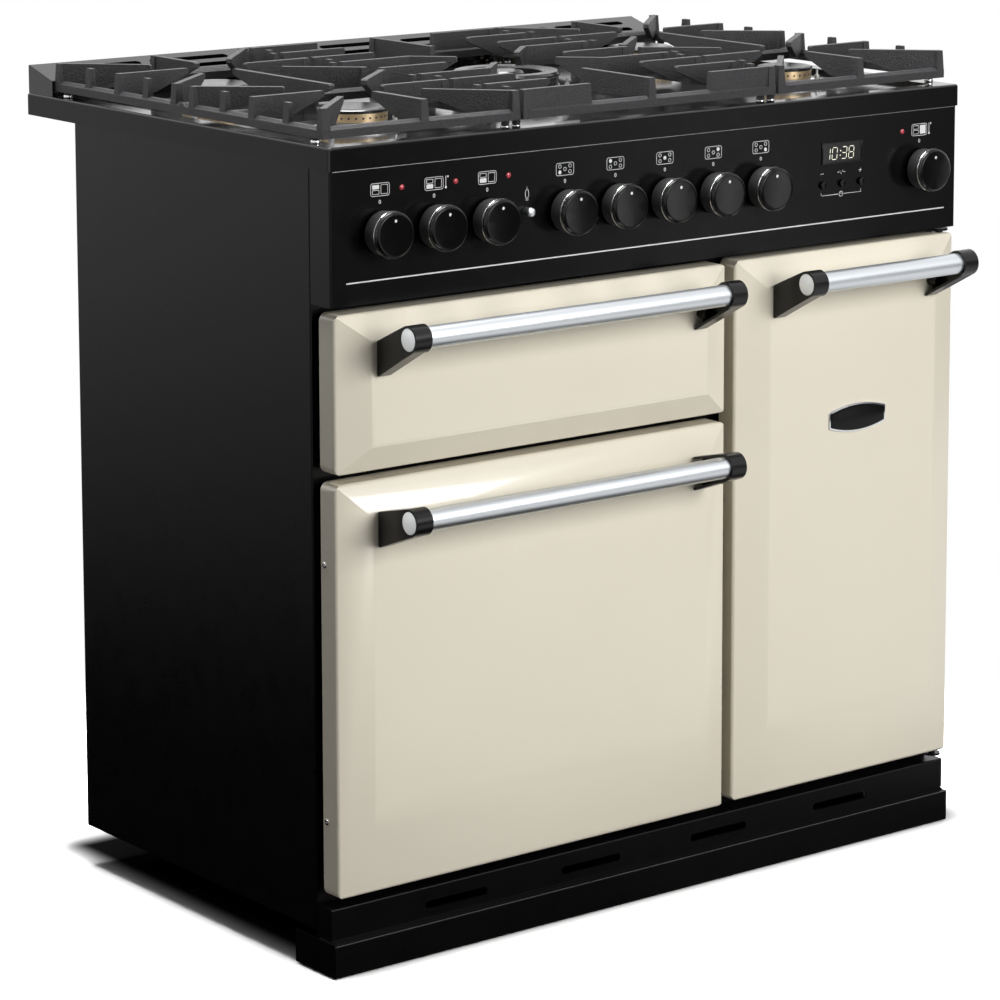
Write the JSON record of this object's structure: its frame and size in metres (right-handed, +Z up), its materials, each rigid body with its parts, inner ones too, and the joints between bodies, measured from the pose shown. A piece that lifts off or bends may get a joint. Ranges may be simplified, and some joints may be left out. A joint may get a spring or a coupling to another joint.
{
  "type": "range cooker",
  "caption": "Free-standing range cooker: gas hob with cast pan supports, drop-down grill and main oven doors, side-hung tall oven door and a row of knobs.",
  "frame": {"origin": "on the floor, in the middle of the overall box (width, and depth from the door handles' front to the hob's back edge)", "axes": "+X to the right along the front, +Y from the front to the back, +Z up; the doors and knobs face -Y"},
  "size_m": [0.9, 0.692, 0.9335],
  "materials": {
    "charcoal_paint": "satin",
    "zinc_sheet": "satin",
    "cream_enamel": "gloss",
    "seal_rubber": "matt",
    "oven_enamel": "gloss",
    "heating_rod": "matt",
    "chromed_wire": "gloss",
    "hob_enamel": "gloss",
    "burner_aluminium": "satin",
    "burner_brass": "satin",
    "burner_enamel": "satin",
    "cast_iron": "matt",
    "black_gloss": "gloss",
    "window_black": "gloss",
    "chrome_trim": "gloss",
    "black_plastic": "satin",
    "knob_plastic": "satin"
  },
  "bodies": {
    "cooker": {"side_panel_left": "charcoal_paint", "side_panel_right": "charcoal_paint", "back_panel": "zinc_sheet", "base_tray": "zinc_sheet", "plinth_kickboard": "charcoal_paint", "plinth_vent_bar": "charcoal_paint", "front_frame": "charcoal_paint", "door_seals": "seal_rubber", "grill_chamber": "oven_enamel", "grill_element": "heating_rod", "grill_carriage": "chromed_wire", "grill_pan": "oven_enamel", "grill_trivet": "chromed_wire", "main_oven_liner": "oven_enamel", "tall_oven_liner": "oven_enamel", "oven_shelf_racks": "chromed_wire", "main_oven_shelves": "chromed_wire", "tall_oven_shelves": "chromed_wire", "hob_tray": "hob_enamel", "rear_upstand": "hob_enamel", "burner_bodies": "burner_aluminium", "burner_port_rings": "burner_brass", "burner_caps": "burner_enamel", "control_panel": "black_gloss", "clock_window": "window_black"},
    "pan_support_left": {"pan_support_left": "cast_iron"},
    "pan_support_middle": {"pan_support_middle": "cast_iron"},
    "pan_support_right": {"pan_support_right": "cast_iron"},
    "light_button": {"light_button": "chrome_trim"},
    "front_feet": {"front_feet": "zinc_sheet"},
    "rear_rollers": {"rear_rollers": "black_plastic"},
    "grill_door": {"grill_door_panel": "cream_enamel", "grill_door_inner": "oven_enamel", "grill_door_handle_tube": "chrome_trim", "grill_door_handle_brackets": "black_plastic"},
    "main_door": {"main_door_panel": "cream_enamel", "main_door_inner": "oven_enamel", "main_door_handle_tube": "chrome_trim", "main_door_handle_brackets": "black_plastic"},
    "tall_door": {"tall_door_panel": "cream_enamel", "tall_door_inner": "oven_enamel", "tall_door_handle_tube": "chrome_trim", "tall_door_handle_brackets": "black_plastic"},
    "knob_burner_front_left": {"knob_burner_front_left": "knob_plastic"},
    "knob_burner_back_left": {"knob_burner_back_left": "knob_plastic"},
    "knob_burner_middle": {"knob_burner_middle": "knob_plastic"},
    "knob_burner_back_right": {"knob_burner_back_right": "knob_plastic"},
    "knob_burner_front_right": {"knob_burner_front_right": "knob_plastic"},
    "knob_grill": {"knob_grill": "knob_plastic"},
    "knob_main_temperature": {"knob_main_temperature": "knob_plastic"},
    "knob_main_function": {"knob_main_function": "knob_plastic"},
    "knob_tall_temperature": {"knob_tall_temperature": "knob_plastic"},
    "spindle_burner_front_left": {"spindle_burner_front_left": "zinc_sheet"},
    "spindle_burner_back_left": {"spindle_burner_back_left": "zinc_sheet"},
    "spindle_burner_middle": {"spindle_burner_middle": "zinc_sheet"},
    "spindle_burner_back_right": {"spindle_burner_back_right": "zinc_sheet"},
    "spindle_burner_front_right": {"spindle_burner_front_right": "zinc_sheet"},
    "clock_button_minus": {"clock_button_minus": "knob_plastic"},
    "clock_button_mode": {"clock_button_mode": "knob_plastic"},
    "clock_button_plus": {"clock_button_plus": "knob_plastic"}
  },
  "joints": [
    {"name": "main_door_hinge", "type": "hinge", "parent": "cooker", "child": "main_door", "pos_m": [0, -0.248, 0.104], "axis": [1, 0, 0], "range_deg": [0, 90], "stiffness_Nm_per_rad": 2.2, "springref_deg": -68.75},
    {"name": "grill_door_hinge", "type": "hinge", "parent": "cooker", "child": "grill_door", "pos_m": [0, -0.248, 0.564], "axis": [1, 0, 0], "range_deg": [0, 90], "stiffness_Nm_per_rad": 0.45, "springref_deg": -80.21},
    {"name": "tall_door_hinge", "type": "hinge", "parent": "cooker", "child": "tall_door", "pos_m": [0.433, -0.248, 0], "axis": [0, 0, 1], "range_deg": [0, 100]},
    {"name": "pan_support_left_lift", "type": "slide", "parent": "cooker", "child": "pan_support_left", "axis": [0, 0, 1], "range_m": [0, 0.08]},
    {"name": "pan_support_middle_lift", "type": "slide", "parent": "cooker", "child": "pan_support_middle", "axis": [0, 0, 1], "range_m": [0, 0.08]},
    {"name": "pan_support_right_lift", "type": "slide", "parent": "cooker", "child": "pan_support_right", "axis": [0, 0, 1], "range_m": [0, 0.08]},
    {"name": "knob_grill_turn", "type": "hinge", "parent": "cooker", "child": "knob_grill", "pos_m": [-0.3845, -0.258, 0.801], "axis": [0, 1, 0], "range_deg": [0, 270]},
    {"name": "knob_main_temperature_turn", "type": "hinge", "parent": "cooker", "child": "knob_main_temperature", "pos_m": [-0.3141, -0.258, 0.801], "axis": [0, 1, 0], "range_deg": [0, 270]},
    {"name": "knob_main_function_turn", "type": "hinge", "parent": "cooker", "child": "knob_main_function", "pos_m": [-0.2437, -0.258, 0.801], "axis": [0, 1, 0], "range_deg": [0, 315]},
    {"name": "knob_tall_temperature_turn", "type": "hinge", "parent": "cooker", "child": "knob_tall_temperature", "pos_m": [0.389, -0.258, 0.801], "axis": [0, 1, 0], "range_deg": [0, 270]},
    {"name": "knob_burner_front_left_push", "type": "slide", "parent": "cooker", "child": "spindle_burner_front_left", "axis": [0, 1, 0], "range_m": [0, 0.003], "stiffness_N_per_m": 1200, "springref_m": -0.004},
    {"name": "knob_burner_front_left_turn", "type": "hinge", "parent": "spindle_burner_front_left", "child": "knob_burner_front_left", "pos_m": [-0.138, -0.258, 0.801], "axis": [0, -1, 0], "range_deg": [0, 200]},
    {"name": "knob_burner_back_left_push", "type": "slide", "parent": "cooker", "child": "spindle_burner_back_left", "axis": [0, 1, 0], "range_m": [0, 0.003], "stiffness_N_per_m": 1200, "springref_m": -0.004},
    {"name": "knob_burner_back_left_turn", "type": "hinge", "parent": "spindle_burner_back_left", "child": "knob_burner_back_left", "pos_m": [-0.0676, -0.258, 0.801], "axis": [0, -1, 0], "range_deg": [0, 200]},
    {"name": "knob_burner_middle_push", "type": "slide", "parent": "cooker", "child": "spindle_burner_middle", "axis": [0, 1, 0], "range_m": [0, 0.003], "stiffness_N_per_m": 1200, "springref_m": -0.004},
    {"name": "knob_burner_middle_turn", "type": "hinge", "parent": "spindle_burner_middle", "child": "knob_burner_middle", "pos_m": [0.0028, -0.258, 0.801], "axis": [0, -1, 0], "range_deg": [0, 200]},
    {"name": "knob_burner_back_right_push", "type": "slide", "parent": "cooker", "child": "spindle_burner_back_right", "axis": [0, 1, 0], "range_m": [0, 0.003], "stiffness_N_per_m": 1200, "springref_m": -0.004},
    {"name": "knob_burner_back_right_turn", "type": "hinge", "parent": "spindle_burner_back_right", "child": "knob_burner_back_right", "pos_m": [0.0732, -0.258, 0.801], "axis": [0, -1, 0], "range_deg": [0, 200]},
    {"name": "knob_burner_front_right_push", "type": "slide", "parent": "cooker", "child": "spindle_burner_front_right", "axis": [0, 1, 0], "range_m": [0, 0.003], "stiffness_N_per_m": 1200, "springref_m": -0.004},
    {"name": "knob_burner_front_right_turn", "type": "hinge", "parent": "spindle_burner_front_right", "child": "knob_burner_front_right", "pos_m": [0.1436, -0.258, 0.801], "axis": [0, -1, 0], "range_deg": [0, 200]},
    {"name": "light_button_push", "type": "slide", "parent": "cooker", "child": "light_button", "axis": [0, 1, 0], "range_m": [0, 0.003], "stiffness_N_per_m": 800, "springref_m": -0.002},
    {"name": "clock_button_minus_push", "type": "slide", "parent": "cooker", "child": "clock_button_minus", "axis": [0, 1, 0], "range_m": [0, 0.0015], "stiffness_N_per_m": 600, "springref_m": -0.002},
    {"name": "clock_button_mode_push", "type": "slide", "parent": "cooker", "child": "clock_button_mode", "axis": [0, 1, 0], "range_m": [0, 0.0015], "stiffness_N_per_m": 600, "springref_m": -0.002},
    {"name": "clock_button_plus_push", "type": "slide", "parent": "cooker", "child": "clock_button_plus", "axis": [0, 1, 0], "range_m": [0, 0.0015], "stiffness_N_per_m": 600, "springref_m": -0.002},
    {"name": "rear_rollers_turn", "type": "hinge", "parent": "cooker", "child": "rear_rollers", "pos_m": [0, 0.195, 0.02], "axis": [1, 0, 0], "continuous": true},
    {"name": "front_feet_level", "type": "slide", "parent": "cooker", "child": "front_feet", "axis": [0, 0, -1], "range_m": [0, 0.025]}
  ]
}
